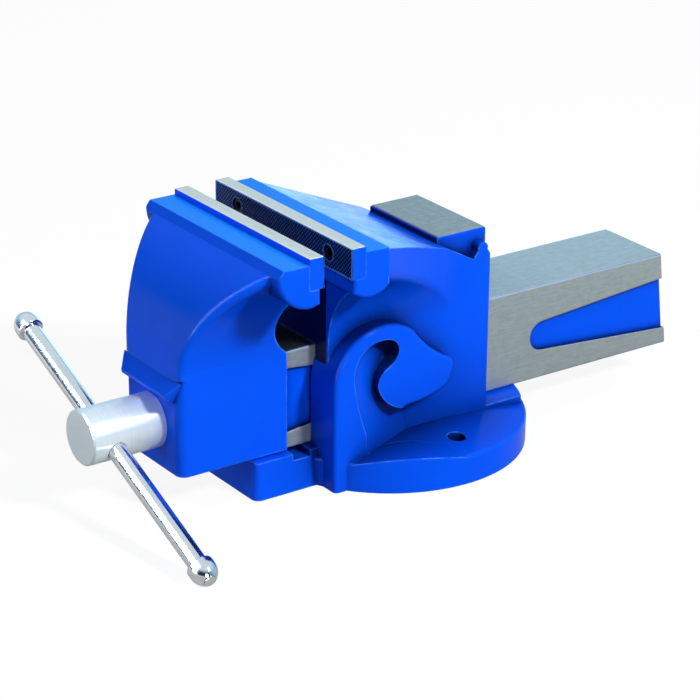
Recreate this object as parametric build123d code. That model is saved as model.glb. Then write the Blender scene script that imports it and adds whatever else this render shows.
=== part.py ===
from build123d import *
import math
import os

# Bench vise, millimetres. The origin is midway between the bench bolts, on the face that meets the bench.
# +Z is up, -Y is the front, where the handle is, and +X is the right-hand end of the jaws seen from there.

# Jaws and jaw plates
jaw_width = 150.0
jaw_opening = 20.0
max_opening = 150.0
jaw_setback = 87.0  # bolt line to the working face of the fixed jaw
throat_depth = 77.0  # top of the slide to the top of the plates
plate_height = 20.0
plate_thickness = 10.0
plate_proud = 4.0  # plates stand above the castings
plate_relief = 2.0  # castings stand back from the working faces
plate_edge = 0.6  # bevel round the top of each plate
fixed_nose_drop = 14.0  # rounded nose of the jaw below its plate
moving_nose_drop = 12.0
nose_round = 6.5
fixed_head_depth = 17.0
moving_head_depth = 18.0
head_bevel = 4.0

# Cap screws of the plates
plate_screw_inset = 25.0  # screw to the end of the plate
plate_screw_shank = 6.0
plate_screw_head = 10.0
plate_screw_head_height = 5.0
plate_screw_grip = 16.0  # length in the casting
plate_screw_sink = 1.0  # heads lie below the working face
hex_key = 5.0
hex_key_depth = 3.0

# Slide and the tunnel that it runs in
slide_width = 58.0
slide_height = 65.5
slide_bottom = 25.0
slide_wall = 11.0
slide_roof = 12.0
slide_engaged = 28.5  # slide left behind the body at the widest opening
slide_rake = 7.5  # the rear end leans back by this much
slide_edge = 1.0
slide_gap = 0.3
recess_depth = 3.0
recess_length = 112.0
recess_tip = 20.0
recess_bulge = 9.0
recess_margin = 11.0
front_recess_top = 11.5  # from the top of the slide to the hollow
rear_recess_top = 17.0

# Fixed body
body_wall = 14.0
body_length = 124.5
mouth_setback = 5.0  # front of the body behind the jaw face
anvil_width = 72.0
anvil_length = 37.5
anvil_rise = 53.5  # above the slide
anvil_step = 4.3
ramp_step = 1.2
flare_foot = 8.0  # above the slide, where the sides start to spread
flare_rise = 51.0  # above the slide, where they reach the jaw ends
flare_length = 71.0
flare_roundness = 0.8  # 1 makes the spreading sides leave upright, 0 makes them straight
flare_crease = 8.0
flare_blend = 40.0
ramp_hollow = 2.2
anvil_edge = 1.2
shoulder_fall = 13.0
lug_height = 10.0
lug_length = 14.0

# Base
base_radius = 90.0
base_setback = 6.0  # centre of the round base in front of the bolt line
base_rim = 19.0
base_root = 24.0
base_edge = 2.5
lip_height = 23.0
lip_radius = 45.5
lip_overhang = 18.0
lip_angle = -25.0
lip_crown = 135.0  # radius that the top of the lip falls away with, towards its two ends
bolt_spacing = 134.0
bolt_hole = 12.0
tongue_half_width = 39.0
tongue_reach = 50.0
tongue_draft = 6.0
tongue_gap = 1.0
tongue_corner = 5.0
notch_length = 13.0
notch_depth = 4.0
notch_setback = 8.0

# Raised cheek on each side of the body, with its comma-shaped hollow
cheek_height = 13.0
cheek_radius = 36.0
cheek_rise = 68.0
cheek_setback = 38.0  # centre of the round part behind the jaw face
cheek_crown = 50.0  # degrees above level where the round part ends
cheek_edge = 3.0
cheek_corner = 6.0
comma_floor_tilt = 19.0
comma_floor_lean = 15.0
comma_shallow = 0.8

# Moving jaw
front_radius = 76.5
box_overlap = 2.5  # rear of the jaw box past the working face
box_margin = 3.0  # jaw box is wider than the slide on each side
box_lift = 1.0
scoop_height = 38.5  # top of the hollow behind the neck, above the slide
scoop_depth = 7.5
neck_foot = 2.5  # above the slide, where the neck starts to spread
ledge_reach = 6.5
ledge_drop = 2.5
ledge_gap = 1.5  # between the ledge and the screw head
ledge_lip = 4.0
ledge_bevel = 7.0
front_wall = 25.0
box_corner = 6.0
cast_edge = 2.5
crown_edge = 4.0

# Main screw
screw_height = 54.0
screw_head = 35.0
screw_head_length = 50.0
screw_head_edge = 1.0
screw_journal = 26.0
screw_thread = 24.0
thread_pitch = 5.0
thread_spare = 6.0
shoulder_gap = 0.4
journal_clearance = 0.05
thread_clearance = 0.3
cross_hole_setback = 16.3

# Nut and its bolts
nut_length = 45.0
nut_width = 31.0
nut_crown = 18.0
nut_setback = 17.0
nut_bolt_spacing = 26.0
nut_bolt_shank = 8.0
nut_bolt_head = 13.0
nut_bolt_head_height = 5.3
nut_bolt_grip = 9.0
nut_washer_thickness = 1.6
nut_washer_width = 16.0
nut_pocket_depth = 12.0
nut_pocket_margin = 8.0
screw_fit = 0.1

# Spring, washers and pin behind the front wall
washer_width = 33.0
washer_thickness = 3.0
washer_bore_gap = 0.4
spring_wire = 3.0
spring_mean = 29.5
spring_turns = 4
spring_pitch = 6.0
spring_gap = 0.3
pin_diameter = 4.0
pin_length = 31.0

# Tommy bar and caps
bar_diameter = 12.0
bar_clearance = 0.3
bar_upper = 100.0
bar_lower = 121.5
bar_tilt = 22.5
bar_spigot = 8.0
cap_diameter = 17.0
cap_length = 13.0
cap_edge = 1.5
cap_shoulder = 4.5  # length of the straight part, before the dome
cap_end = 9.2
bar_peen = 0.6

# Places worked out from the sizes above
jaw_half = jaw_width / 2
slide_half = slide_width / 2
slide_top = slide_bottom + slide_height
jaw_top = slide_top + throat_depth
cast_top = jaw_top - plate_proud
plate_foot = jaw_top - plate_height
plate_middle = jaw_top - plate_height / 2
fixed_nose = plate_foot - fixed_nose_drop
moving_nose = plate_foot - moving_nose_drop
fixed_face = -jaw_setback
fixed_back = fixed_face + plate_thickness
fixed_front = fixed_face + plate_relief
fixed_head_rear = fixed_back + fixed_head_depth
moving_face = fixed_face - jaw_opening
moving_back = moving_face - plate_thickness
moving_rear = moving_face - plate_relief
moving_head_front = moving_back - moving_head_depth
travel = max_opening - jaw_opening
body_half = slide_half + slide_gap + body_wall
body_front = fixed_face + mouth_setback
body_rear = body_front + body_length
tunnel_floor = slide_bottom - slide_gap
tunnel_roof = slide_top + slide_gap
anvil_top = slide_top + anvil_rise
anvil_front = body_rear - anvil_length
box_half = slide_half + box_margin
box_rear = moving_face + box_overlap
box_front = box_rear - front_radius
box_bottom = slide_bottom + box_lift
channel_half = slide_half - slide_wall
channel_roof = slide_top - slide_roof
channel_front = box_front + front_wall
slide_rear = body_rear + travel + slide_engaged
nut_front = fixed_back + nut_setback
nut_rear = nut_front + nut_length
nut_middle = (nut_front + nut_rear) / 2
screw_rear = nut_rear + travel + thread_spare
screw_shoulder = box_front - shoulder_gap
ledge_foot = screw_height + screw_head / 2 + ledge_gap
screw_front = screw_shoulder - screw_head_length
cross_hole = screw_front + cross_hole_setback
seat_rear = channel_front + washer_thickness
spring_length = spring_turns * spring_pitch + spring_wire
retainer_front = seat_rear + spring_length + 2 * spring_gap
retainer_rear = retainer_front + washer_thickness
pin_place = retainer_rear + pin_diameter / 2
bar_turn = math.radians(bar_tilt)
bar_direction = Vector(math.cos(bar_turn), 0, -math.sin(bar_turn))
bar_centre = Vector(0, cross_hole, screw_height)


def outline(start, *steps):
    # Closed face. A step is the next corner, and a third number makes the way there an arc of that height.
    edges = []
    here = start
    for step in steps + (start,):
        there = step[:2]
        if len(step) == 3:
            edges.append(SagittaArc(here, there, step[2]))
        else:
            edges.append(Line(here, there))
        here = there
    return make_face(edges)


def arc_height(radius, chord):
    return radius - math.sqrt(radius ** 2 - (chord / 2) ** 2)


def quarter_arc(radius):
    return arc_height(radius, radius * math.sqrt(2))


def side_slab(face, near, far):
    # Solid of a Y-Z outline between two X positions
    return extrude(Plane.YZ.offset(near) * face, far - near)


def front_slab(face, front, rear):
    # Solid of an X-Z outline between two Y positions
    return extrude(Plane.XZ.offset(-rear) * face, rear - front)


def block(x_range, y_range, z_range):
    size = [high - low for low, high in (x_range, y_range, z_range)]
    middle = [(low + high) / 2 for low, high in (x_range, y_range, z_range)]
    return Pos(*middle) * Box(*size)


def rod(diameter, start, end):
    # Round bar along Y on the screw's axis
    return Pos(0, (start + end) / 2, screw_height) * Rot(90, 0, 0) * Cylinder(diameter / 2, end - start)


def both_sides(half):
    return half + mirror(half, about=Plane.YZ)


def plate_screw_places():
    return [plate_screw_inset - jaw_half, jaw_half - plate_screw_inset]


def nut_bolt_places():
    return [nut_middle - nut_bolt_spacing / 2, nut_middle + nut_bolt_spacing / 2]


def fixed_side_outline():
    shoulder = anvil_top - anvil_step
    notch = shoulder - shoulder_fall
    lug_front = body_rear - lug_length
    lug_foot = notch + lug_height / 2
    return outline(
        (body_front, 0),
        (body_front, plate_foot),
        (fixed_back, plate_foot),
        (fixed_back, cast_top),
        (fixed_head_rear, cast_top),
        (fixed_head_rear, cast_top - ramp_step),
        (anvil_front, shoulder),
        (lug_front, notch),
        (lug_front + lug_length / 4, lug_foot),
        (body_rear - lug_length / 4, lug_foot, lug_height / 2),
        (body_rear, notch),
        (body_rear, 0),
    )


def spread_outline(half, foot, tip):
    # Half front view of a casting whose sides spread up to the jaw ends, and on past them
    chord = math.dist((half, foot), (jaw_half, tip))
    hollow = flare_roundness * chord / 2 * math.tan(math.atan2(jaw_half - half, tip - foot) / 2)
    heading = SagittaArc((half, foot), (jaw_half, tip), hollow) % 1
    past = Vector(jaw_half, tip) + heading * plate_height
    return outline(
        (0, 0),
        (half, 0),
        (half, foot),
        (jaw_half, tip, hollow),
        (past.X, past.Y),
        (past.X, 2 * cast_top),
        (0, 2 * cast_top),
    )


def fixed_plan_outline():
    face = outline(
        (0, body_front),
        (jaw_half, body_front),
        (jaw_half, fixed_head_rear),
        (body_half, fixed_head_rear + flare_length, ramp_hollow),
        (body_half, body_rear),
        (0, body_rear),
    )
    rear_corner = face.vertices().group_by(Axis.Y)[-1].sort_by(Axis.X)[-1]
    return fillet(rear_corner, cast_edge)


def jaw_nose(face):
    # Bar under the plate, from the middle of a jaw to its rounded end
    solid = side_slab(face, 0, jaw_half)
    end = solid.faces().sort_by(Axis.X)[-1].edges()
    return fillet([edge for edge in end if edge.center().Z < plate_foot - cast_edge], cast_edge)


def fixed_nose_outline():
    round_start = fixed_nose + fixed_nose_drop / 3
    return outline(
        (fixed_front, plate_foot),
        (fixed_back, plate_foot),
        (fixed_back, cast_top),
        (fixed_head_rear, cast_top),
        (fixed_head_rear, round_start),
        (fixed_front, round_start, fixed_nose_drop / 3),
    )


def cheek_point(along, up):
    # Place on the cheek in radii of its round part
    return (fixed_face + cheek_setback + along * cheek_radius, cheek_rise + up * cheek_radius)


def cheek_outline():
    front = fixed_face + cheek_setback - cheek_radius
    turn = math.radians(cheek_crown)
    crown = cheek_point(math.cos(turn), math.sin(turn))
    crown_height = cheek_radius * (1 - math.sin(turn / 2))
    foot = cheek_point(-0.18, 0)[0]
    face = outline(
        (front, 0),
        (front, cheek_rise),
        crown + (crown_height,),
        cheek_point(1.52, 0.05) + (-0.08 * cheek_radius,),
        cheek_point(1.36, -0.44) + (0.03 * cheek_radius,),
        cheek_point(0.5, -0.62) + (0.05 * cheek_radius,),
        cheek_point(-0.26, -1.01),
        (foot, 0),
    )
    corners = [corner for corner in face.vertices() if corner.Y > 1 and abs(corner.Y - cheek_rise) > 1]
    return fillet(corners, cheek_corner)


def comma_outline():
    return outline(
        cheek_point(0.56, -0.64),
        cheek_point(-0.12, -0.12) + (0.145 * cheek_radius,),
        cheek_point(0.05, 0.18) + (0.05 * cheek_radius,),
        cheek_point(0.28, 0.37) + (-0.02 * cheek_radius,),
        cheek_point(0.18, 0.69) + (-0.075 * cheek_radius,),
        cheek_point(-0.61, 0.1) + (-0.29 * cheek_radius,),
        cheek_point(-0.46, -0.63) + (-0.02 * cheek_radius,),
        cheek_point(-0.36, -0.92),
        cheek_point(-0.34, -1.3),
        cheek_point(0.56, -1.3),
    )


def right_cheek():
    inner_x, face_x = slide_half + slide_gap, body_half + cheek_height
    cheek = side_slab(cheek_outline(), inner_x, face_x)
    rim = cheek.faces().sort_by(Axis.X)[-1].edges()
    cheek = fillet([edge for edge in rim if edge.center().Z > 1], cheek_edge)
    shallow_y, shallow_z = cheek_point(-0.55, -0.2)
    floor = Pos(face_x - comma_shallow, shallow_y, shallow_z)
    floor *= Rot(comma_floor_lean, 0, 0) * Rot(0, 0, comma_floor_tilt)
    above_floor = floor * Pos(cheek_radius, 0, 0) * Box(2 * cheek_radius, 6 * cheek_radius, 6 * cheek_radius)
    comma = side_slab(comma_outline(), body_half, face_x + cheek_height)
    # The floor of the hollow runs on below it, as a slope from the front post back to the wall
    slope_rear, slope_top = cheek_point(0.9, -0.3)
    slope = block((inner_x, face_x), (shallow_y, slope_rear), (0, slope_top)) - above_floor
    return cheek - (comma & above_floor) + slope


def base_disc():
    root = body_half + base_edge
    section = outline(
        (0, 0),
        (base_radius, 0),
        (base_radius, base_rim - base_edge),
        (base_radius - base_edge, base_rim, -quarter_arc(base_edge)),
        (root, base_root),
        (0, base_root),
    )
    return Pos(0, -base_setback, 0) * revolve(Plane.XZ * section, Axis.Z)


def rear_pad():
    # Raised floor under the slide, from the body back to the edge of the disc
    reach = base_radius - base_edge
    pad = Pos(0, -base_setback, base_root / 2) * Cylinder(reach, base_root)
    return pad & block((-body_half, body_half), (body_rear - body_wall, reach), (0, base_root))


def right_lip():
    turn = math.radians(lip_angle)
    outward = Vector(math.cos(turn), math.sin(turn), 0)
    middle = Vector(0, -base_setback, lip_height / 2)
    lip = Pos(middle) * Cylinder(base_radius, lip_height)
    lip &= Pos(middle + outward * (base_radius + lip_overhang)) * Cylinder(lip_radius, lip_height)
    crown = Plane((0, -base_setback, lip_height - lip_crown), z_dir=outward)
    return lip & crown * Cylinder(lip_crown, 4 * base_radius)


def tongue():
    top = slide_bottom - tongue_gap
    front = body_front - tongue_reach
    length = tongue_reach + body_wall
    plan = Pos(0, front + length / 2) * RectangleRounded(2 * tongue_half_width, length, tongue_corner)
    solid = extrude(plan, top, taper=tongue_draft)
    notch_rear = body_front - notch_setback
    notch = block(
        (-2 * tongue_half_width, 2 * tongue_half_width),
        (notch_rear - notch_length, notch_rear),
        (top - notch_depth, 2 * top),
    )
    return solid - notch


def fixed_core():
    spread = spread_outline(body_half, slide_top + flare_foot, slide_top + flare_rise)
    core = front_slab(spread, body_front, body_rear) & extrude(fixed_plan_outline(), 2 * cast_top)
    core = fillet(core.edges().filter_by(GeomType.BSPLINE), flare_crease)
    core &= side_slab(fixed_side_outline(), 0, jaw_half)
    # The spread runs out into the flat side without a crease
    end = (body_half, fixed_head_rear + flare_length)
    crease = [edge for edge in core.edges() if math.dist(end, tuple(edge.center())[:2]) < cast_edge / 4]
    return fillet(crease, flare_blend)


def anvil():
    solid = block((0, anvil_width / 2), (anvil_front, body_rear), (slide_top, anvil_top))
    rim = solid.faces().sort_by(Axis.Z)[-1].edges()
    return chamfer([edge for edge in rim if edge.center().X > anvil_edge], anvil_edge)


def fixed_body():
    nose = jaw_nose(fixed_nose_outline())
    body = both_sides(fixed_core() + nose + anvil() + right_cheek() + right_lip())
    body += base_disc()
    body += rear_pad()
    body += tongue()
    body -= block(
        (-slide_half - slide_gap, slide_half + slide_gap),
        (body_front - tongue_reach - 1, body_rear + base_radius),
        (tunnel_floor, tunnel_roof),
    )
    for x in (-bolt_spacing / 2, bolt_spacing / 2):
        body -= Pos(x, 0, base_root) * Cylinder(bolt_hole / 2, 3 * base_root)
    half_pocket = nut_washer_width / 2 + nut_pocket_margin
    body -= block(
        (-half_pocket, half_pocket),
        (nut_bolt_places()[0] - half_pocket, nut_bolt_places()[1] + half_pocket),
        (-1, nut_pocket_depth),
    )
    for y in nut_bolt_places():
        body -= Pos(0, y, tunnel_floor / 2) * Cylinder(nut_bolt_shank / 2 + screw_fit, 2 * tunnel_floor)
    for x in plate_screw_places():
        depth = plate_screw_grip + 1
        hole = Cylinder(plate_screw_shank / 2 + screw_fit, depth)
        body -= Pos(x, fixed_back + depth / 2, plate_middle) * Rot(90, 0, 0) * hole
    return body


def front_arc_end():
    # Where the round front of the moving jaw meets the bevel below the top
    y = moving_head_front - head_bevel
    return (y, slide_top + math.sqrt(front_radius ** 2 - (box_rear - y) ** 2))


def moving_side_outline():
    arc_end = front_arc_end()
    chord = math.dist((box_front, slide_top), arc_end)
    return outline(
        (box_front, box_bottom),
        (box_front, slide_top),
        arc_end + (arc_height(front_radius, chord),),
        (moving_head_front, cast_top),
        (moving_back, cast_top),
        (moving_back, plate_foot),
        (moving_rear, plate_foot),
        (moving_rear, slide_top + scoop_height),
        (box_rear - neck_foot, slide_top + neck_foot, -scoop_depth),
        (box_rear, slide_top),
        (box_rear, box_bottom),
    )


def moving_nose_outline():
    return outline(
        (moving_rear, plate_foot),
        (moving_rear, moving_nose + nose_round / 4),
        (moving_rear - nose_round, moving_nose),
        front_arc_end() + (nose_round,),
        (moving_head_front, cast_top),
        (moving_back, cast_top),
        (moving_back, plate_foot),
    )


def ledge():
    top = slide_top - ledge_drop
    tip = box_front - ledge_reach
    section = outline(
        (box_front + 1, top),
        (box_front, top),
        (tip, ledge_foot + ledge_lip + cast_edge),
        (tip + cast_edge / 3, ledge_foot + ledge_lip),
        (box_front, ledge_foot),
        (box_front + 1, ledge_foot),
    )
    plan = outline(
        (0, box_front + 1),
        (box_half, box_front + 1),
        (box_half, box_front),
        (box_half - ledge_bevel, tip),
        (0, tip),
    )
    front = outline(
        (0, ledge_foot),
        (box_half - ledge_bevel, ledge_foot),
        (box_half, top),
        (0, top),
    )
    return side_slab(section, 0, box_half) & extrude(plan, cast_top) & front_slab(front, tip, box_front + 1)


def corner_relief():
    # Takes the right front corner of the box, below the ledge, to a larger round
    height = slide_top - ledge_drop - box_bottom
    middle = Pos(box_half - box_corner, box_front + box_corner, box_bottom + height / 2)
    square = middle * Pos(box_corner, -box_corner, 0) * Box(2 * box_corner, 2 * box_corner, height + 2)
    return square - middle * Cylinder(box_corner, height + 4)


def slide_recess(end, direction, top_margin):
    # Tapered hollow in the right side of the slide, open at one end and round at the other
    tip = end + direction * recess_length
    middle = (slide_bottom + recess_margin + slide_top - top_margin) / 2
    face = outline(
        (end, slide_bottom + recess_margin),
        (tip, middle - recess_tip / 2),
        (tip, middle + recess_tip / 2, -direction * recess_bulge),
        (end, slide_top - top_margin),
    )
    return side_slab(face, slide_half - recess_depth, slide_half + 1)


def moving_core():
    # The front edges are rounded on a larger solid, so that they run out cleanly at the jaw ends
    spread = spread_outline(box_half, slide_top + neck_foot, front_arc_end()[1])
    dome = outline(
        (box_front, box_bottom),
        (box_front, slide_top),
        (box_rear, slide_top + front_radius, quarter_arc(front_radius)),
        (box_rear, box_bottom),
    )
    rough = front_slab(spread, box_front, box_rear) & side_slab(dome, 0, jaw_width)
    sides = [edge for edge in rough.edges() if edge.center().X > box_half - 1]
    front = [edge for edge in sides if abs((edge % 0.5).Y) < 0.95 and edge.center().Y < box_rear - 1]
    return fillet(front, crown_edge) & side_slab(moving_side_outline(), 0, jaw_half)


def moving_jaw():
    upper = moving_core() - corner_relief() + jaw_nose(moving_nose_outline()) + ledge()
    beam = outline(
        (box_rear - 1, slide_bottom),
        (slide_rear + slide_rake / 2, slide_bottom),
        (slide_rear - slide_rake / 2, slide_top),
        (box_rear - 1, slide_top),
    )
    beam = side_slab(beam, 0, slide_half)
    beam = chamfer(beam.edges().filter_by(Axis.Y).group_by(Axis.X)[-1], slide_edge)
    beam -= slide_recess(box_rear, 1, front_recess_top)
    beam -= slide_recess(slide_rear + slide_rake, -1, rear_recess_top)
    jaw = both_sides(upper + beam)
    jaw -= block(
        (-channel_half, channel_half),
        (channel_front, slide_rear + slide_rake),
        (-1, channel_roof),
    )
    jaw -= rod(screw_journal + 2 * journal_clearance, box_front - 1, channel_front + 1)
    for x in plate_screw_places():
        depth = plate_screw_grip + 1
        hole = Cylinder(plate_screw_shank / 2 + screw_fit, depth)
        jaw -= Pos(x, moving_back - depth / 2, plate_middle) * Rot(90, 0, 0) * hole
    return jaw


def jaw_plate(face, back):
    # Hard plate with its working face at one Y and its back at the other
    plate = block((-jaw_half, jaw_half), sorted((face, back)), (plate_foot, jaw_top))
    plate = chamfer(plate.edges().group_by(Axis.Z)[-1], plate_edge)
    sink = plate_screw_sink + plate_screw_head_height
    for x in plate_screw_places():
        place = Pos(x, (face + back) / 2, plate_middle) * Rot(90, 0, 0)
        plate -= place * Cylinder(plate_screw_shank / 2 + screw_fit, 2 * plate_thickness)
        head = Cylinder(plate_screw_head / 2 + screw_fit, 2 * sink)
        plate -= Pos(x, face, plate_middle) * Rot(90, 0, 0) * head
    return plate


def jaw_plate_screw(x, face, inward):
    # Cap screw with a hexagon socket, sunk in the working face
    turn = Rot(-90, 0, 0) if inward > 0 else Rot(90, 0, 0)
    neck = plate_thickness - plate_screw_sink - plate_screw_head_height
    bottom = Align.CENTER, Align.CENTER, Align.MIN
    screw = Cylinder(plate_screw_head / 2, plate_screw_head_height, align=bottom)
    shank = Cylinder(plate_screw_shank / 2, neck + plate_screw_grip, align=bottom)
    screw += Pos(0, 0, plate_screw_head_height) * shank
    screw -= extrude(RegularPolygon(hex_key / 2, 6, major_radius=False), hex_key_depth)
    return Pos(x, face + inward * plate_screw_sink, plate_middle) * turn * screw


def main_nut():
    crown = screw_height + nut_crown
    solid = block((-nut_width / 2, nut_width / 2), (nut_front, nut_rear), (tunnel_floor, crown))
    solid = fillet(solid.edges().filter_by(Axis.Y).group_by(Axis.Z)[-1], nut_width / 4)
    solid -= rod(screw_thread + 2 * thread_clearance, nut_front - 1, nut_rear + 1)
    for y in nut_bolt_places():
        hole = Cylinder(nut_bolt_shank / 2 + screw_fit, 2 * nut_bolt_grip + 2)
        solid -= Pos(0, y, tunnel_floor) * hole
    return solid


def nut_bolt(y):
    seat = nut_pocket_depth - nut_washer_thickness
    bottom = Align.CENTER, Align.CENTER, Align.MIN
    head = extrude(RegularPolygon(nut_bolt_head / 2, 6, major_radius=False), nut_bolt_head_height)
    shank = Cylinder(nut_bolt_shank / 2, tunnel_floor + nut_bolt_grip - seat, align=bottom)
    return Pos(0, y, seat - nut_bolt_head_height) * head + Pos(0, y, seat) * shank


def nut_washer(y):
    ring = Cylinder(nut_washer_width / 2, nut_washer_thickness)
    ring -= Cylinder(nut_bolt_shank / 2 + screw_fit, 2 * nut_washer_thickness)
    return Pos(0, y, nut_pocket_depth - nut_washer_thickness / 2) * ring


def main_screw():
    head = rod(screw_head, screw_front, screw_shoulder)
    head = chamfer(head.edges().group_by(Axis.Y)[0], screw_head_edge)
    screw = head + rod(screw_journal, screw_shoulder, seat_rear)
    shank = rod(screw_thread, seat_rear, screw_rear)
    screw += chamfer(shank.edges().group_by(Axis.Y)[-1], thread_pitch / 2)
    hole = Cylinder(bar_diameter / 2 + bar_clearance, 2 * screw_head)
    screw -= Plane(bar_centre, z_dir=bar_direction) * hole
    pin_hole = Cylinder(pin_diameter / 2 + screw_fit, 2 * screw_head)
    screw -= Pos(0, pin_place, screw_height) * Rot(0, 90, 0) * pin_hole
    return screw


def screw_washer(front, bore):
    rear = front + washer_thickness
    return rod(washer_width, front, rear) - rod(bore + 2 * washer_bore_gap, front - 1, rear + 1)


def spring_point(turns):
    angle = 2 * math.pi * turns
    radius = spring_mean / 2
    start = seat_rear + spring_gap + spring_wire / 2
    place = Vector(
        radius * math.cos(angle),
        start + spring_pitch * turns,
        screw_height + radius * math.sin(angle),
    )
    heading = Vector(
        -radius * math.sin(angle),
        spring_pitch / (2 * math.pi),
        radius * math.cos(angle),
    )
    return place, heading.normalized()


def biarc(first, last):
    # Two arcs that leave the first point and reach the last one along their headings
    (start, heading_out), (end, heading_in) = first, last
    span = end - start
    both = heading_out + heading_in
    turn = 2 * (1 - heading_out.dot(heading_in))
    reach = (-span.dot(both) + math.sqrt(span.dot(both) ** 2 + turn * span.dot(span))) / turn
    middle = (start + end + (heading_out - heading_in) * reach) * 0.5
    lead = TangentArc(start, middle, tangent=heading_out)
    return [lead, TangentArc(middle, end, tangent=lead % 1)]


def screw_spring():
    quarters = [spring_point(count / 4) for count in range(4 * spring_turns + 1)]
    path = [arc for pair in zip(quarters, quarters[1:]) for arc in biarc(*pair)]
    start, heading = quarters[0]
    coil = sweep(Plane(start, z_dir=heading) * Circle(spring_wire / 2), path=Wire(path))
    points = [spring_point(count / 24)[0] for count in range(24 * spring_turns + 1)]
    gap = min((a - b).length for i, a in enumerate(points) for b in points[i + 18:]) - spring_wire
    print("spring: least gap to itself", round(gap, 2), "mm, volume", round(coil.volume, 1))
    return coil


def retaining_pin():
    return Pos(0, pin_place, screw_height) * Rot(0, 90, 0) * Cylinder(pin_diameter / 2, pin_length)


def along_bar(diameter, start, end):
    place = Plane(bar_centre + bar_direction * ((start + end) / 2), z_dir=bar_direction)
    return place * Cylinder(diameter / 2, end - start)


def handle_bar():
    bar = along_bar(bar_diameter, cap_length / 2 - bar_upper, bar_lower - cap_length / 2)
    peen = cap_length / 2 + bar_peen
    return bar + along_bar(bar_spigot, -bar_upper - peen, bar_lower + peen)


def handle_cap(middle):
    # Ring with a domed end, on the spigot of the bar
    radius, bore = cap_diameter / 2, bar_spigot / 2 + screw_fit
    fall, rise = radius - cap_end / 2, cap_length - cap_shoulder
    dome = math.hypot(fall, rise) / 2 * math.tan(math.atan2(fall, rise) / 2)
    section = outline(
        (bore, 0),
        (radius - cap_edge, 0),
        (radius, cap_edge, -quarter_arc(cap_edge)),
        (radius, cap_shoulder),
        (cap_end / 2, cap_length, -dome),
        (bore, cap_length),
    )
    outward = math.copysign(1, middle)
    inner_face = bar_centre + bar_direction * (middle - outward * cap_length / 2)
    return Plane(inner_face, z_dir=bar_direction * outward) * revolve(Plane.XZ * section, Axis.Z)


left, right = plate_screw_places()
front, rear = nut_bolt_places()
nodes = {
    "fixed_body": fixed_body(),
    "fixed_jaw_plate": jaw_plate(fixed_face, fixed_back),
    "fixed_jaw_screw_left": jaw_plate_screw(left, fixed_face, 1),
    "fixed_jaw_screw_right": jaw_plate_screw(right, fixed_face, 1),
    "main_nut": main_nut(),
    "nut_bolt_front": nut_bolt(front),
    "nut_bolt_rear": nut_bolt(rear),
    "nut_washer_front": nut_washer(front),
    "nut_washer_rear": nut_washer(rear),
    "moving_jaw": moving_jaw(),
    "moving_jaw_plate": jaw_plate(moving_face, moving_back),
    "moving_jaw_screw_left": jaw_plate_screw(left, moving_face, -1),
    "moving_jaw_screw_right": jaw_plate_screw(right, moving_face, -1),
    "spring_seat_washer": screw_washer(channel_front, screw_journal),
    "screw_spring": screw_spring(),
    "main_screw": main_screw(),
    "retaining_washer": screw_washer(retainer_front, screw_thread),
    "retaining_pin": retaining_pin(),
    "handle_bar": handle_bar(),
    "handle_cap_upper": handle_cap(-bar_upper),
    "handle_cap_lower": handle_cap(bar_lower),
}
os.makedirs("parts", exist_ok=True)
for name, solid in nodes.items():
    export_step(solid, f"parts/{name}.step")
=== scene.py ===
import bmesh
import bpy
import math
from mathutils import Matrix, Vector


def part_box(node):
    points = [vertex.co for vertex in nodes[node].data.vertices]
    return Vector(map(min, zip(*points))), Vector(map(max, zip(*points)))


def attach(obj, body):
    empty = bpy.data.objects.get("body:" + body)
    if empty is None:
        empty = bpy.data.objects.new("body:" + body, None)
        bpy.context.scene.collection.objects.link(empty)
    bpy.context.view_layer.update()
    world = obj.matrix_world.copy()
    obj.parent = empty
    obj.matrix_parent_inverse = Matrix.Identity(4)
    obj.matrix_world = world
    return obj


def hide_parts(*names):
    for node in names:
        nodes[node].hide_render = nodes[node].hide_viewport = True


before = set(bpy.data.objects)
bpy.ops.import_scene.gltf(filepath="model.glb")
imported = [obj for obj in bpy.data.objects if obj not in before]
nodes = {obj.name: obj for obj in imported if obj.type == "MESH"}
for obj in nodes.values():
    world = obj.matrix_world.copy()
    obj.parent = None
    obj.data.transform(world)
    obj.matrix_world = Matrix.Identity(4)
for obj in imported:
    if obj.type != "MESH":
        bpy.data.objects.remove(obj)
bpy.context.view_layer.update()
mm = 0.001
levelGap, mergeGap, cutGap = 0.01 * mm, 0.002 * mm, 0.001 * mm    # points this close are level, merged or cut
print("frame loaded,", len(nodes), "nodes")

# Places on the vise that the finishes and pieces go by
slideTop = 90.5 * mm
slideBottom = 25.0 * mm
slideHalf = 29.0 * mm
boxRear = -104.5 * mm
screwHeight = 54.0 * mm
anvilTop = 144.0 * mm
anvilFront = 5.0 * mm
barTilt = math.radians(22.5)
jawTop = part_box("fixed_jaw_plate")[1].z
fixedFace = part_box("fixed_jaw_plate")[0].y
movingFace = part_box("moving_jaw_plate")[1].y
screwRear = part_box("main_screw")[1].y


def linear(hexColour):
    # sRGB hex to the linear colour that a socket takes
    parts = [int(hexColour[i:i + 2], 16) / 255 for i in (1, 3, 5)]
    return [p / 12.92 if p <= 0.04045 else ((p + 0.055) / 1.055) ** 2.4 for p in parts] + [1.0]


def addNode(tree, kind, settings={}, links={}):
    # Settings are properties and input values by name or number, links are the outputs that feed inputs
    node = tree.nodes.new("ShaderNode" + kind)
    for key, value in settings.items():
        if isinstance(key, str) and hasattr(node, key):
            setattr(node, key, value)
        else:
            node.inputs[key].default_value = value
    for key, output in links.items():
        tree.links.new(output, node.inputs[key])
    return node.outputs


# Camera, solved from the photograph: where it stands and how it is turned
cameraView = {"place": (1.29139, -0.94609, 0.72819), "azimuth": 54.80, "elevation": 22.76, "roll": 0.53,
              "lens": 139.33, "sensor": 36.0, "farthest": 20.0}


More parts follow.
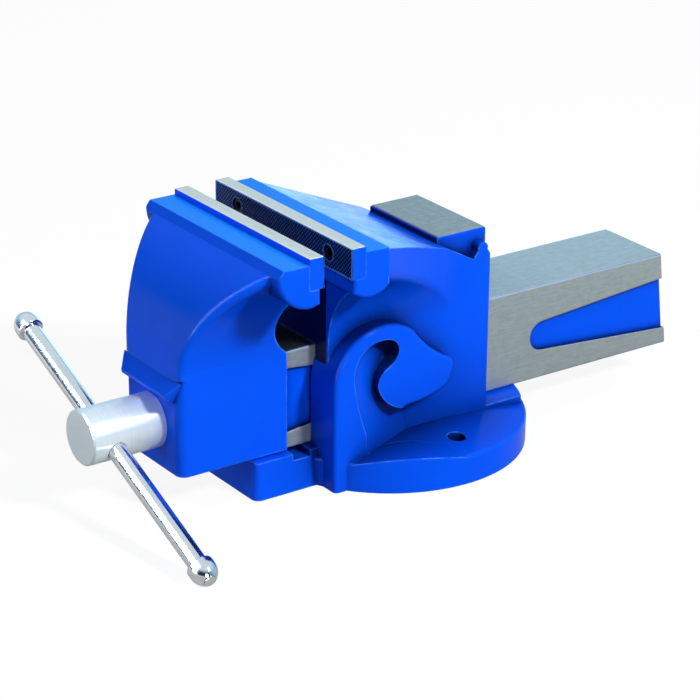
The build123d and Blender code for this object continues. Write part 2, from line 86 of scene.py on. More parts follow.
def placeCamera():
    azimuth, elevation, roll = (math.radians(cameraView[key]) for key in ("azimuth", "elevation", "roll"))
    back = Vector((math.sin(azimuth) * math.cos(elevation), -math.cos(azimuth) * math.cos(elevation),
                   math.sin(elevation)))
    level = Vector((math.cos(azimuth), math.sin(azimuth), 0))
    right = level * math.cos(roll) + back.cross(level) * math.sin(roll)
    up = back.cross(right)
    camera = bpy.data.objects.new("camera", bpy.data.cameras.new("camera"))
    camera.data.lens = cameraView["lens"]
    camera.data.sensor_width = cameraView["sensor"]
    camera.data.clip_end = cameraView["farthest"]
    turn = Matrix((right, up, back)).transposed().to_4x4()
    camera.matrix_world = Matrix.Translation(cameraView["place"]) @ turn
    bpy.context.collection.objects.link(camera)
    bpy.context.scene.camera = camera


placeCamera()
print("camera placed")

# Soft studio light. Level is how bright a white face turned to that lamp looks, and seen says what shows it:
# two lamps make no glare, and the window and the card show in the metal and gloss alone
lamps = {
    "key": {"from": (0.76, 0.20, 0.62), "size": 0.28, "level": 0.98, "seen": ("diffuse", "glossy")},
    "side": {"from": (0.94, -0.32, 0.10), "size": 0.60, "level": 0.28, "seen": ("diffuse", "glossy")},
    "front": {"from": (-0.70, -0.71, 0.06), "size": 0.90, "level": 0.42, "seen": ("diffuse",)},
    "rear": {"from": (-0.60, 0.50, 0.62), "size": 1.00, "level": 0.24, "seen": ("diffuse",)},
    "strip": {"from": (0.10, -0.60, 0.79), "size": 0.30, "level": 0.20, "seen": ("diffuse", "glossy")},
    "window": {"from": (-0.75, 0.66, 0.06), "size": 0.60, "level": 0.07, "seen": ("glossy",),
               "colour": "#8fdcff"},
    "card": {"from": (-0.14, -0.87, 0.46), "size": 0.90, "tall": 2.0, "level": 4.00, "seen": ("glossy",),
             "colour": "#d8eeff"},
}
studio = {"lampReach": 1.9, "aim": (0, -0.03, 0.08), "floorSize": 8.0, "floorDrop": 0.2 * mm,
          "floor": "#5e5e5e", "floorRough": 0.9, "floorGlow": 0.90, "sheen": (0.40, 0.75),
          "sheenReach": (0.20, 0.60), "roomLight": 0.02, "wallAxis": (-0.50, 0.78, 0.38),
          "wallReach": (-0.35, 0.40), "ceiling": (0.40, 0.70), "room": "#14294f",
          "wallLow": "#9ad8ff", "wallHigh": "#e4f1f8", "wallHeights": (0.30, 0.60)}


def lightStudio():
    for name, lamp in lamps.items():
        light = bpy.data.lights.new(name, "AREA")
        light.shape = "RECTANGLE" if "tall" in lamp else "DISK"
        light.size = lamp["size"]
        light.size_y = lamp.get("tall", lamp["size"])
        light.color = linear(lamp.get("colour", "#ffffff"))[:3]
        light.energy = lamp["level"] * (math.pi * studio["lampReach"]) ** 2
        away = Vector(lamp["from"]).normalized()
        holder = bpy.data.objects.new(name, light)
        holder.visible_diffuse = "diffuse" in lamp["seen"]
        holder.visible_glossy = "glossy" in lamp["seen"]
        turn = away.to_track_quat("Z", "Y").to_matrix().to_4x4()
        holder.matrix_world = Matrix.Translation(Vector(studio["aim"]) + away * studio["lampReach"]) @ turn
        bpy.context.collection.objects.link(holder)


def layFloor():
    bm = bmesh.new()
    bmesh.ops.create_grid(bm, x_segments=1, y_segments=1, size=studio["floorSize"] / 2)
    bmesh.ops.translate(bm, verts=bm.verts, vec=(0, 0, -studio["floorDrop"]))
    mesh = bpy.data.meshes.new("floor")
    bm.to_mesh(mesh)
    bm.free()
    floor = bpy.data.objects.new("floor", mesh)
    bpy.context.collection.objects.link(floor)

    # White paper sweep: white to the camera, greyer in the metal close to the vise as painted shade, and it
    # keeps the shadow
    paper = bpy.data.materials.new("whitePaperSweep")
    paper.use_nodes = True
    tree = paper.node_tree
    tree.nodes.clear()
    place = addNode(tree, "TexCoord")["Object"]
    away = addNode(tree, "VectorMath", {"operation": "LENGTH"}, {0: place})["Value"]
    # Painted shade: what shiny surfaces see of the floor is greyer close to the vise
    start, end = studio["sheenReach"]
    grey, pale = studio["sheen"]
    sheen = addNode(tree, "MapRange", {"From Min": start, "From Max": end, "To Min": grey, "To Max": pale},
                    {"Value": away})["Result"]
    path = addNode(tree, "LightPath")
    direct = addNode(tree, "Math", {"operation": "MAXIMUM"},
                     {0: path["Is Camera Ray"], 1: path["Is Transmission Ray"]})["Value"]
    mirrored = addNode(tree, "Math", {"operation": "MULTIPLY"}, {0: path["Is Glossy Ray"], 1: sheen})["Value"]
    glow = addNode(tree, "Math", {"operation": "MULTIPLY_ADD", 1: studio["floorGlow"]},
                   {0: direct, 2: mirrored})["Value"]
    shader = addNode(tree, "BsdfPrincipled",
                     {"Base Color": linear(studio["floor"]), "Roughness": studio["floorRough"],
                      "Specular IOR Level": 0.0, "Emission Color": linear("#ffffff")},
                     {"Emission Strength": glow})
    addNode(tree, "OutputMaterial", {}, {"Surface": shader["BSDF"]})
    mesh.materials.append(paper)


def hangBackdrop():
    # White to the camera. Shiny surfaces see a pale wall behind the vise, a pale ceiling and a dark blue room
    world = bpy.data.worlds.new("studioRoom")
    world.use_nodes = True
    tree = world.node_tree
    tree.nodes.clear()
    direction = addNode(tree, "TexCoord")["Generated"]
    height = addNode(tree, "SeparateXYZ", {}, {"Vector": direction})["Z"]
    behind = addNode(tree, "VectorMath", {"operation": "DOT_PRODUCT", 1: studio["wallAxis"]},
                     {0: direction})["Value"]
    low, high = studio["wallReach"]
    wall = addNode(tree, "MapRange", {"From Min": low, "From Max": high}, {"Value": behind})["Result"]
    low, high = studio["ceiling"]
    ceiling = addNode(tree, "MapRange", {"From Min": low, "From Max": high}, {"Value": height})["Result"]
    pale = addNode(tree, "Math", {"operation": "MAXIMUM"}, {0: wall, 1: ceiling})["Value"]
    low, high = studio["wallHeights"]
    rise = addNode(tree, "MapRange", {"From Min": low, "From Max": high}, {"Value": height})["Result"]
    colour = addNode(tree, "Mix", {"data_type": "RGBA", 6: linear(studio["wallLow"]),
                                   7: linear(studio["wallHigh"])}, {"Factor": rise})[2]
    colour = addNode(tree, "Mix", {"data_type": "RGBA", 6: linear(studio["room"])},
                     {"Factor": pale, 7: colour})[2]
    walls = addNode(tree, "Background", {"Strength": 1.0}, {"Color": colour})["Background"]
    fill = addNode(tree, "Background",
                   {"Color": linear("#ffffff"), "Strength": studio["roomLight"]})["Background"]
    white = addNode(tree, "Background", {"Color": linear("#ffffff"), "Strength": 1.0})["Background"]
    path = addNode(tree, "LightPath")
    shiny = addNode(tree, "Math", {"operation": "MAXIMUM"},
                    {0: path["Is Glossy Ray"], 1: path["Is Transmission Ray"]})["Value"]
    room = addNode(tree, "MixShader", {}, {0: shiny, 1: fill, 2: walls})["Shader"]
    seen = addNode(tree, "MixShader", {}, {0: path["Is Camera Ray"], 1: room, 2: white})["Shader"]
    addNode(tree, "OutputWorld", {}, {"Surface": seen})
    bpy.context.scene.world = world
    bpy.context.scene.view_settings.view_transform = "Standard"


lightStudio()
layFloor()
hangBackdrop()
print("studio lit")

# Gloss alkyd enamel sprayed on a sand casting: a wet shine that wobbles with the iron underneath, with a
# painted highlight on sharp edges and painted shade in the corners. Sizes and heights in mm
glossEnamel = {"colour": "#0459fa", "cloud": "#044fec", "cloudSize": 45.0,
               "topHighlight": "#1684ff", "topHighlightFrom": 150.0, "topHighlightSlope": (0.93, 0.98),
               "cornerShade": "#02185a", "cornerShadeReach": 60.0, "cornerShadeRange": (0.45, 1.0), "cornerSamples": 6,
               "edge": "#5aa4ff", "edgeReach": 1.3, "edgeRange": (0.85, 0.45), "edgeShare": 0.7,
               "highlightPatchSize": 9.0, "highlightPatchRange": (0.40, 0.60), "highlightPatchLeast": 0.2,
               "roughness": (0.12, 0.26), "mottleSize": 18.0, "mottleRange": (0.35, 0.7), "specular": 0.05,
               "rippleSize": 8.0, "rippleHeight": 0.16, "peelSize": 1.6, "peelHeight": 0.008,
               "edgeRound": 1.4, "roundSamples": 4}
# Painted shade: the wall of the body inside the mouth is darkened to the shade colour. Middle and reach along
# each axis
bodyEnamel = dict(glossEnamel, mouth={"X": (0.0, 41.0), "Y": (-82.0, 0.6), "Z": (89.0, 58.0)})
# The slide gets no painted edge highlight behind the jaw, and painted shade blackens its top near the jaw
slideEnamel = dict(glossEnamel, edgeStop=boxRear, topShadeReach=(20.0, 45.0), topShadeLeast=0.05, topShadeDepth=0.5)
# The same enamel on the jaw plates, paler on the tips of the teeth and darkened with painted shade between them
plateEnamel = dict(glossEnamel, tips="#4a86e6", roots="#0a2054", tipDepth=(0.05, 0.25), toothDepth=(0.5, 0.7),
                   edgeShare=0.15, edgeRound=0.15)
# Surface-ground grey iron: fine straight lines from the stone along the slide under cloudy stains, a soft
# grey sheen
# shadeColour is the painted shade that darkens the bare metal
groundIron = {"light": "#acb8ba", "dark": "#98a4a6", "toneRange": (0.7, 1.3), "shadeColour": "#15191d",
              "metallic": 0.75, "roughness": (0.42, 0.52), "lineSize": (0.6, 12.0, 0.6),
              "lineRange": (0.3, 0.7), "lineHeight": 0.004, "stainSize": 5.0}
# The anvil is the same iron, darker from use
anvilIron = dict(groundIron, light="#9aa3a2", dark="#7e8786")
# Surface-ground tool steel: the same lines along the jaws, warmer and paler
groundPlate = dict(groundIron, light="#d4d4cc", dark="#c2c3bc", lineSize=(12.0, 0.6, 0.6))
# Where the paint gives way to ground metal, in mm from the face or line that each is named for
groundEdges = {"anvilTop": (-0.6, -0.4), "anvilFront": (-2.0, -1.0), "slideSkin": (-0.44, -0.36),
               "boxRear": (0.2, 0.6), "jawTop": (-0.5, -0.2)}


def anvilMask(tree, axes):
    low, high = (anvilTop + edge * mm for edge in groundEdges["anvilTop"])
    above = addNode(tree, "MapRange", {"From Min": low, "From Max": high}, {"Value": axes["Z"]})["Result"]
    low, high = (anvilFront + edge * mm for edge in groundEdges["anvilFront"])
    behind = addNode(tree, "MapRange", {"From Min": low, "From Max": high}, {"Value": axes["Y"]})["Result"]
    return addNode(tree, "Math", {"operation": "MULTIPLY"}, {0: above, 1: behind})["Value"]


def slideMask(tree, axes):
    # The slide is ground on its four long faces, and its hollows and bevels keep their paint
    middle = (slideTop + slideBottom) / 2
    side = addNode(tree, "Math", {"operation": "ABSOLUTE"}, {0: axes["X"]})["Value"]
    side = addNode(tree, "Math", {"operation": "SUBTRACT", 1: slideHalf}, {0: side})["Value"]
    level = addNode(tree, "Math", {"operation": "SUBTRACT", 1: middle}, {0: axes["Z"]})["Value"]
    level = addNode(tree, "Math", {"operation": "ABSOLUTE"}, {0: level})["Value"]
    level = addNode(tree, "Math", {"operation": "SUBTRACT", 1: slideTop - middle}, {0: level})["Value"]
    skin = addNode(tree, "Math", {"operation": "MAXIMUM"}, {0: side, 1: level})["Value"]
    low, high = (edge * mm for edge in groundEdges["slideSkin"])
    outer = addNode(tree, "MapRange", {"From Min": low, "From Max": high}, {"Value": skin})["Result"]
    low, high = (boxRear + edge * mm for edge in groundEdges["boxRear"])
    behind = addNode(tree, "MapRange", {"From Min": low, "From Max": high}, {"Value": axes["Y"]})["Result"]
    return addNode(tree, "Math", {"operation": "MULTIPLY"}, {0: outer, 1: behind})["Value"]


def plateMask(tree, axes):
    low, high = (jawTop + edge * mm for edge in groundEdges["jawTop"])
    return addNode(tree, "MapRange", {"From Min": low, "From Max": high}, {"Value": axes["Z"]})["Result"]


def enamelled(name, enamel, ground, bareMask):
    # Enamel all over, with ground metal where the mask is 1
    material = bpy.data.materials.new(name)
    material.use_nodes = True
    tree = material.node_tree
    tree.nodes.clear()
    place = addNode(tree, "TexCoord")["Object"]
    axes = addNode(tree, "SeparateXYZ", {}, {"Vector": place})
    bare = bareMask(tree, axes)

    # Two close blues in soft clouds, with a painted highlight in a paler blue on the flat tops of the jaws
    cloud = addNode(tree, "TexNoise", {"Scale": 1 / (enamel["cloudSize"] * mm)}, {"Vector": place})["Fac"]
    paint = addNode(tree, "Mix", {"data_type": "RGBA", 6: linear(enamel["colour"]), 7: linear(enamel["cloud"])},
                    {"Factor": cloud})[2]
    facing = addNode(tree, "NewGeometry")["Normal"]
    upright = addNode(tree, "SeparateXYZ", {}, {"Vector": facing})["Z"]
    low, high = enamel["topHighlightSlope"]
    flat = addNode(tree, "MapRange", {"From Min": low, "From Max": high}, {"Value": upright})["Result"]
    above = addNode(tree, "Math", {"operation": "GREATER_THAN", 1: enamel["topHighlightFrom"] * mm},
                    {0: axes["Z"]})["Value"]
    topHighlight = addNode(tree, "Math", {"operation": "MULTIPLY"}, {0: flat, 1: above})["Value"]
    paint = addNode(tree, "Mix", {"data_type": "RGBA", 7: linear(enamel["topHighlight"])},
                    {"Factor": topHighlight, 6: paint})[2]

    # Teeth go by their depth below the working faces, which stand either side of the gap: paler on the tips,
    # painted shade between them
    if "tips" in enamel:
        centre, half = (fixedFace + movingFace) / 2, (fixedFace - movingFace) / 2
        away = addNode(tree, "Math", {"operation": "SUBTRACT", 1: centre}, {0: axes["Y"]})["Value"]
        away = addNode(tree, "Math", {"operation": "ABSOLUTE"}, {0: away})["Value"]
        high, low = (half + depth * mm for depth in enamel["tipDepth"])
        tipShare = addNode(tree, "MapRange", {"From Min": low, "From Max": high}, {"Value": away})["Result"]
        toothTone = addNode(tree, "Mix", {"data_type": "RGBA", 6: linear(enamel["roots"]), 7: linear(enamel["tips"])},
                       {"Factor": tipShare})[2]
        high, low = (half + depth * mm for depth in enamel["toothDepth"])
        between = addNode(tree, "MapRange", {"From Min": low, "From Max": high}, {"Value": away})["Result"]
        paint = addNode(tree, "Mix", {"data_type": "RGBA"}, {"Factor": between, 6: paint, 7: toothTone})[2]

    # Painted shade in the corners and a painted highlight on the edges, in patches
    shelter = addNode(tree, "AmbientOcclusion", {"samples": enamel["cornerSamples"], "only_local": True,
                                                 "Distance": enamel["cornerShadeReach"] * mm})["AO"]
    low, high = enamel["cornerShadeRange"]
    unshaded = addNode(tree, "MapRange", {"From Min": low, "From Max": high}, {"Value": shelter})["Result"]
    # Painted shade inside the mouth of the body
    if "mouth" in enamel:
        inside = [addNode(tree, "Math", {"operation": "COMPARE", 1: middle * mm, 2: reach * mm},
                          {0: axes[axis]})["Value"] for axis, (middle, reach) in enamel["mouth"].items()]
        mouthShade = addNode(tree, "Math", {"operation": "MULTIPLY"}, {0: inside[0], 1: inside[1]})["Value"]
        mouthShade = addNode(tree, "Math", {"operation": "MULTIPLY"}, {0: mouthShade, 1: inside[2]})["Value"]
        unshaded = addNode(tree, "Math", {"operation": "SUBTRACT", "use_clamp": True}, {0: unshaded, 1: mouthShade})["Value"]
    paint = addNode(tree, "Mix", {"data_type": "RGBA", 6: linear(enamel["cornerShade"])},
                    {"Factor": unshaded, 7: paint})[2]
    # Painted highlight: a paler blue on sharp convex edges, broken into patches
    inner = addNode(tree, "AmbientOcclusion", {"samples": enamel["cornerSamples"], "inside": True,
                                               "only_local": True, "Distance": enamel["edgeReach"] * mm})["AO"]
    low, high = enamel["edgeRange"]
    edge = addNode(tree, "MapRange", {"From Min": low, "From Max": high, "To Max": enamel["edgeShare"]},
                   {"Value": inner})["Result"]
    highlightPatches = addNode(tree, "TexNoise", {"Scale": 1 / (enamel["highlightPatchSize"] * mm), "Detail": 3.0},
                   {"Vector": place})["Fac"]
    low, high = enamel["highlightPatchRange"]
    highlightPatches = addNode(tree, "MapRange", {"From Min": low, "From Max": high, "To Min": enamel["highlightPatchLeast"]},
                   {"Value": highlightPatches})["Result"]
    edge = addNode(tree, "Math", {"operation": "MULTIPLY"}, {0: edge, 1: highlightPatches})["Value"]
    if "edgeStop" in enamel:
        before = addNode(tree, "Math", {"operation": "LESS_THAN", 1: enamel["edgeStop"]},
                         {0: axes["Y"]})["Value"]
        edge = addNode(tree, "Math", {"operation": "MULTIPLY"}, {0: edge, 1: before})["Value"]
    paint = addNode(tree, "Mix", {"data_type": "RGBA", 7: linear(enamel["edge"])}, {"Factor": edge, 6: paint})[2]

    # The ground metal, darkened with the painted shade of the corners and, on the slide, with painted shade near
    # the jaw
    metalUnshaded = unshaded
    # Painted shade on the slide's top near the jaw
    if "topShadeReach" in enamel:
        start, end = (boxRear + reach * mm for reach in enamel["topShadeReach"])
        metalUnshaded = addNode(tree, "MapRange", {"From Min": start, "From Max": end, "To Min": enamel["topShadeLeast"]},
                      {"Value": axes["Y"]})["Result"]
        below = addNode(tree, "Math", {"operation": "LESS_THAN", 1: slideTop - enamel["topShadeDepth"] * mm},
                        {0: axes["Z"]})["Value"]
        metalUnshaded = addNode(tree, "Math", {"operation": "MAXIMUM"}, {0: metalUnshaded, 1: below})["Value"]
        metalUnshaded = addNode(tree, "Math", {"operation": "MULTIPLY"}, {0: metalUnshaded, 1: unshaded})["Value"]
    stretch = [1 / (size * mm) for size in ground["lineSize"]]
    along = addNode(tree, "Mapping", {"Scale": stretch}, {"Vector": place})["Vector"]
    lines = addNode(tree, "TexNoise", {"Scale": 1.0, "Detail": 3.0}, {"Vector": along})["Fac"]
    stain = addNode(tree, "TexNoise", {"Scale": 1 / (ground["stainSize"] * mm), "Detail": 5.0, "Roughness": 0.7},
                    {"Vector": place})["Fac"]
    tone = addNode(tree, "Math", {"operation": "ADD"}, {0: lines, 1: stain})["Value"]
    low, high = ground["toneRange"]
    tone = addNode(tree, "MapRange", {"From Min": low, "From Max": high}, {"Value": tone})["Result"]
    metal = addNode(tree, "Mix", {"data_type": "RGBA", 6: linear(ground["light"]), 7: linear(ground["dark"])},
                    {"Factor": tone})[2]
    metal = addNode(tree, "Mix", {"data_type": "RGBA", 6: linear(ground["shadeColour"])}, {"Factor": metalUnshaded, 7: metal})[2]
    colour = addNode(tree, "Mix", {"data_type": "RGBA"}, {"Factor": bare, 6: paint, 7: metal})[2]
    metallic = addNode(tree, "Math", {"operation": "MULTIPLY"}, {0: bare, 1: metalUnshaded})["Value"]
    metallic = addNode(tree, "Math", {"operation": "MULTIPLY", 1: ground["metallic"]}, {0: metallic})["Value"]

    mottle = addNode(tree, "TexNoise", {"Scale": 1 / (enamel["mottleSize"] * mm), "Detail": 3.0},
                     {"Vector": place})["Fac"]
    (low, high), (smooth, dull) = enamel["mottleRange"], enamel["roughness"]
    paintRough = addNode(tree, "MapRange", {"From Min": low, "From Max": high, "To Min": smooth, "To Max": dull},
                         {"Value": mottle})["Result"]
    (low, high), (smooth, dull) = ground["lineRange"], ground["roughness"]
    metalRough = addNode(tree, "MapRange", {"From Min": low, "From Max": high, "To Min": smooth, "To Max": dull},
                         {"Value": lines})["Result"]
    roughness = addNode(tree, "Mix", {"data_type": "FLOAT"}, {"Factor": bare, 2: paintRough, 3: metalRough})[0]

    # Ripples of the casting and the orange peel of the spray, or the lines of the stone
    ripple = addNode(tree, "TexNoise", {"Scale": 1 / (enamel["rippleSize"] * mm), "Detail": 1.0},
                     {"Vector": place})["Fac"]
    peel = addNode(tree, "TexNoise", {"Scale": 1 / (enamel["peelSize"] * mm), "Detail": 1.0},
                   {"Vector": place})["Fac"]
    peel = addNode(tree, "Math", {"operation": "MULTIPLY", 1: enamel["peelHeight"]}, {0: peel})["Value"]
    skin = addNode(tree, "Math", {"operation": "MULTIPLY_ADD", 1: enamel["rippleHeight"]},
                   {0: ripple, 2: peel})["Value"]
    scratch = addNode(tree, "Math", {"operation": "MULTIPLY", 1: ground["lineHeight"]}, {0: lines})["Value"]
    height = addNode(tree, "Mix", {"data_type": "FLOAT"}, {"Factor": bare, 2: skin, 3: scratch})[0]
    rounded = addNode(tree, "Bevel", {"samples": enamel["roundSamples"],
                                      "Radius": enamel["edgeRound"] * mm})["Normal"]
    bump = addNode(tree, "Bump", {"Distance": mm, "Strength": 1.0},
                   {"Height": height, "Normal": rounded})["Normal"]
    shader = addNode(tree, "BsdfPrincipled", {"Specular IOR Level": enamel["specular"]},
                     {"Base Color": colour, "Metallic": metallic, "Roughness": roughness, "Normal": bump})
    addNode(tree, "OutputMaterial", {}, {"Surface": shader["BSDF"]})
    return material


# Bare metals, each with the marks that its making leaves under soft clouds. Grain and heights are in mm
metalMarks = {"cloudSize": 25.0, "toneRange": (0.7, 1.3), "grainRange": (0.3, 0.7)}
metals = {
    # Turned steel: fine rings on the end and hoops round the barrel, drawn coarser than the tool left them
    "turnedSteel": {"light": "#dce8ef", "dark": "#d0dde5", "metallic": 0.45, "roughness": (0.28, 0.34),
                    "rings": (0.9, 0.8), "height": 0.0004},
    # Bright chrome on drawn bar: faint lines along the bar under a near mirror
    "chromePlate": {"light": "#e6e8ea", "dark": "#d2d6da", "metallic": 1.0, "roughness": (0.10, 0.17),
                    "grain": (60.0, 1.2, 1.2), "turn": (0, barTilt, 0), "height": 0.0002},
    # Black oxide on cap screws: dark and slightly oily
    "blackOxide": {"light": "#2a2b2d", "dark": "#17181a", "metallic": 1.0, "roughness": (0.35, 0.50),
                   "grain": (1.5, 1.5, 1.5), "height": 0.006},
    # Zinc plate on bolts and washers: pale and a little cloudy
    "zincPlate": {"light": "#b9bec2", "dark": "#9ca3a8", "metallic": 1.0, "roughness": (0.28, 0.42),
                  "grain": (3.0, 3.0, 3.0), "height": 0.005},
    # Milled cast iron: dark grey with a coarse grain
    "milledIron": {"light": "#6f7272", "dark": "#505353", "metallic": 1.0, "roughness": (0.45, 0.60),
                   "grain": (1.2, 6.0, 1.2), "height": 0.020},
    # Oiled spring wire: dark steel with a soft shine
    "springWire": {"light": "#5a5c60", "dark": "#3e4044", "metallic": 1.0, "roughness": (0.25, 0.40),
                   "grain": (2.0, 2.0, 2.0), "height": 0.006},
}


def bareMetal(name):
    finish = metals[name]
    material = bpy.data.materials.new(name)
    material.use_nodes = True
    tree = material.node_tree
    tree.nodes.clear()
    place = addNode(tree, "TexCoord")["Object"]
    if "rings" in finish:
        # Distance from the screw's axis and place along it, so that the marks run round
        centred = addNode(tree, "Mapping", {"Location": (0, 0, -screwHeight)}, {"Vector": place})["Vector"]
        axes = addNode(tree, "SeparateXYZ", {}, {"Vector": centred})
        spoke = addNode(tree, "CombineXYZ", {}, {"X": axes["X"], "Y": axes["Z"]})["Vector"]
        radius = addNode(tree, "VectorMath", {"operation": "LENGTH"}, {0: spoke})["Value"]
        place = addNode(tree, "CombineXYZ", {}, {"X": radius, "Y": axes["Y"]})["Vector"]
        sizes, turn = finish["rings"] + (1.0,), (0, 0, 0)
    else:
        sizes, turn = finish["grain"], finish.get("turn", (0, 0, 0))
    turned = addNode(tree, "Mapping", {"Rotation": turn}, {"Vector": place})["Vector"]
    scaled = addNode(tree, "VectorMath", {"operation": "DIVIDE", 1: [size * mm for size in sizes]},
                     {0: turned})["Vector"]
    grain = addNode(tree, "TexNoise", {"Scale": 1.0, "Detail": 3.0}, {"Vector": scaled})["Fac"]
    cloud = addNode(tree, "TexNoise", {"Scale": 1 / (metalMarks["cloudSize"] * mm), "Detail": 3.0},
                    {"Vector": place})["Fac"]
    tone = addNode(tree, "Math", {"operation": "ADD"}, {0: grain, 1: cloud})["Value"]
    low, high = metalMarks["toneRange"]
    tone = addNode(tree, "MapRange", {"From Min": low, "From Max": high}, {"Value": tone})["Result"]
    colour = addNode(tree, "Mix", {"data_type": "RGBA", 6: linear(finish["light"]), 7: linear(finish["dark"])},
                     {"Factor": tone})[2]
    (low, high), (smooth, dull) = metalMarks["grainRange"], finish["roughness"]
    roughness = addNode(tree, "MapRange", {"From Min": low, "From Max": high, "To Min": smooth, "To Max": dull},
                        {"Value": grain})["Result"]
    height = addNode(tree, "Math", {"operation": "MULTIPLY", 1: finish["height"]}, {0: grain})["Value"]
    bump = addNode(tree, "Bump", {"Distance": mm, "Strength": 1.0}, {"Height": height})["Normal"]
    shader = addNode(tree, "BsdfPrincipled", {"Metallic": finish["metallic"]},
                     {"Base Color": colour, "Roughness": roughness, "Normal": bump})
    addNode(tree, "OutputMaterial", {}, {"Surface": shader["BSDF"]})
    return material


finishes = {name: bareMetal(name) for name in metals}
finishes["bodyEnamel"] = enamelled("glossEnamelBody", bodyEnamel, anvilIron, anvilMask)
finishes["slideEnamel"] = enamelled("glossEnamelSlide", slideEnamel, groundIron, slideMask)
finishes["plateEnamel"] = enamelled("glossEnamelPlate", plateEnamel, groundPlate, plateMask)
wearing = {
    "bodyEnamel": ["fixed_body"],
    "slideEnamel": ["moving_jaw"],
    "plateEnamel": ["fixed_jaw_plate", "moving_jaw_plate"],
    "turnedSteel": ["main_screw"],
    "chromePlate": ["handle_bar", "handle_cap_upper", "handle_cap_lower"],
    "blackOxide": ["fixed_jaw_screw_left", "fixed_jaw_screw_right", "moving_jaw_screw_left",
                   "moving_jaw_screw_right"],
    "zincPlate": ["nut_bolt_front", "nut_bolt_rear", "nut_washer_front", "nut_washer_rear",
                  "spring_seat_washer", "retaining_washer", "retaining_pin"],
    "milledIron": ["main_nut"],
    "springWire": ["screw_spring"],
}
for finish, members in wearing.items():
    for name in members:
        nodes[name].data.materials.clear()
        nodes[name].data.materials.append(finishes[finish])
print("finishes on", len(nodes), "nodes")


def copyNode(name):
    bm = bmesh.new()
    bm.from_mesh(nodes[name].data)
    bmesh.ops.remove_doubles(bm, verts=bm.verts, dist=mergeGap)
    return bm


def addPiece(bm, name, body, replaced, finish, smoothAngle):
    mesh = bpy.data.meshes.new(name)
    bm.to_mesh(mesh)
    bm.free()
    mesh.shade_smooth()
    mesh.set_sharp_from_angle(angle=math.radians(smoothAngle))
    mesh.materials.append(finishes[finish])
    piece = bpy.data.objects.new(name, mesh)
    bpy.context.collection.objects.link(piece)
    # Normals weighted by area, so that a flat face stays flat beside its rounded edge
    piece.modifiers.new("weighted", "WEIGHTED_NORMAL").keep_sharp = True
    result = piece.evaluated_get(bpy.context.evaluated_depsgraph_get())
    piece.data = bpy.data.meshes.new_from_object(result)
    piece.modifiers.clear()
    bpy.data.meshes.remove(mesh)
    piece.data.name = name
    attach(piece, body)
    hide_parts(replaced)
    print(name, len(piece.data.polygons), "faces")


# Diamond teeth cut into the working face of each jaw plate, tips level with the face
teeth = {"pitch": 2.0, "depth": 0.45, "rim": 0.9, "screwEdge": 5.6, "screwPlaces": (-50.0, 50.0),
         "facing": 0.99, "smoothAngle": 12}


def cutTeeth(nodeName, pieceName, body, face, inward):
    bm = copyNode(nodeName)
    low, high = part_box(nodeName)
    pitch, rim = teeth["pitch"] * mm, teeth["rim"] * mm
    middle = Vector(((low.x + high.x) / 2, face, (low.z + high.z) / 2))
    half = Vector(((high.x - low.x) / 2 - rim, 0, (high.z - low.z) / 2 - rim))

    def workingFaces():
        return [f for f in bm.faces if abs(f.normal.y) > teeth["facing"]
                and abs(f.calc_center_median().y - face) < levelGap]

    # Square cuts mark the rim, then two diagonal sets with the crossings between them
    diagonal, step = (half.x + half.z) / math.sqrt(2), pitch / math.sqrt(2)
    cuts = [(normal, offset) for normal, reach in (((1, 0, 0), half.x), ((0, 0, 1), half.z))
            for offset in (-reach, reach)]
    for normal, reach, gap in (((1, 0, 1), diagonal, pitch), ((1, 0, -1), diagonal, pitch),
                               ((1, 0, 0), half.x, step), ((0, 0, 1), half.z, step)):
        count = int(reach / gap)
        cuts += [(normal, index * gap) for index in range(-count, count + 1)]
    for normal, offset in cuts:
        faces = workingFaces()
        parts = set(faces) | {e for f in faces for e in f.edges} | {v for f in faces for v in f.verts}
        bmesh.ops.bisect_plane(bm, geom=list(parts), dist=cutGap, plane_no=normal,
                               plane_co=middle + Vector(normal).normalized() * offset)

    # Points between the tips sink, except on the rim and round the screws
    for vert in {v for f in workingFaces() for v in f.verts}:
        x, z = vert.co.x - middle.x, vert.co.z - middle.z
        onRim = abs(x) > half.x - levelGap or abs(z) > half.z - levelGap
        screwGap = min(math.hypot(x - place * mm, z) for place in teeth["screwPlaces"])
        if not onRim and screwGap > teeth["screwEdge"] * mm:
            rows = [(x + sign * z) / math.sqrt(2) / pitch for sign in (1, -1)]
            sunk = max(abs(row - math.floor(row) - 0.5) * 2 for row in rows)
            vert.co.y += inward * teeth["depth"] * mm * sunk
    bmesh.ops.triangulate(bm, faces=[f for f in bm.faces if len(f.verts) > 4])
    addPiece(bm, pieceName, body, nodeName, "plateEnamel", teeth["smoothAngle"])


cutTeeth("fixed_jaw_plate", "toothedPlateFixed", "base", fixedFace, 1)
cutTeeth("moving_jaw_plate", "toothedPlateMoving", "front_jaw", movingFace, -1)

# Trapezoidal thread on the screw behind its retaining pin. It starts some turns early and is cut to length
thread = {"start": -114.0, "major": 24.0, "minor": 18.6, "pitch": 5.0, "crest": 1.85, "flank": 0.72,
          "steps": 32, "earlyTurns": 2, "lateTurns": 1, "endBevel": 2.5, "smoothAngle": 30}


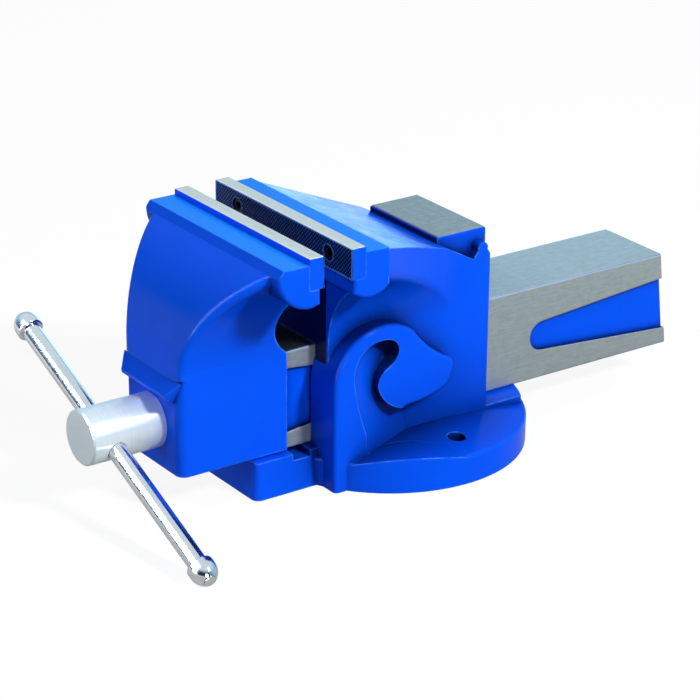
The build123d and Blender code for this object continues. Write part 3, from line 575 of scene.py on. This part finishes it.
def cutThread():
    screw = copyNode("main_screw")
    start = thread["start"] * mm
    everything = screw.verts[:] + screw.edges[:] + screw.faces[:]
    cut = bmesh.ops.bisect_plane(screw, geom=everything, dist=cutGap, plane_co=(0, start, 0),
                                 plane_no=(0, 1, 0), clear_outer=True)["geom_cut"]
    bmesh.ops.edgeloop_fill(screw, edges=[e for e in cut if isinstance(e, bmesh.types.BMEdge)])

    rod = bmesh.new()
    pitch, steps = thread["pitch"] * mm, thread["steps"]
    major, minor = thread["major"] / 2, thread["minor"] / 2
    lead = thread["earlyTurns"] * pitch
    turns = math.ceil((screwRear - start) / pitch) + thread["earlyTurns"] + thread["lateTurns"]
    profile = ((major, 0), (major, thread["crest"]), (minor, thread["crest"] + thread["flank"]),
               (minor, thread["pitch"] - thread["flank"]), (major, thread["pitch"]))
    verts = [rod.verts.new((radius * mm, start - lead + along * mm, screwHeight)) for radius, along in profile]
    edges = [rod.edges.new(pair) for pair in zip(verts, verts[1:])]
    bmesh.ops.spin(rod, geom=verts + edges, cent=(0, 0, screwHeight), axis=(0, 1, 0),
                   dvec=(0, pitch / steps, 0), angle=2 * math.pi * turns, steps=steps * turns,
                   use_duplicate=False)
    bmesh.ops.remove_doubles(rod, verts=rod.verts, dist=levelGap)
    for place, normal in ((start, (0, -1, 0)), (screwRear, (0, 1, 0))):
        everything = rod.verts[:] + rod.edges[:] + rod.faces[:]
        cut = bmesh.ops.bisect_plane(rod, geom=everything, dist=cutGap, plane_co=(0, place, 0),
                                     plane_no=normal, clear_outer=True)["geom_cut"]
        bmesh.ops.edgeloop_fill(rod, edges=[e for e in cut if isinstance(e, bmesh.types.BMEdge)])
    bevelStart = screwRear - thread["endBevel"] * mm
    for vert in rod.verts:
        spoke = Vector((vert.co.x, 0, vert.co.z - screwHeight))
        most = major * mm - max(0, vert.co.y - bevelStart)
        if spoke.length > most:
            vert.co += spoke * (most / spoke.length - 1)
    bmesh.ops.recalc_face_normals(rod, faces=rod.faces)
    shank = bpy.data.meshes.new("threadedShank")
    rod.to_mesh(shank)
    rod.free()
    screw.from_mesh(shank)
    bpy.data.meshes.remove(shank)
    addPiece(screw, "threadedScrew", "screw", "main_screw", "turnedSteel", thread["smoothAngle"])


cutThread()
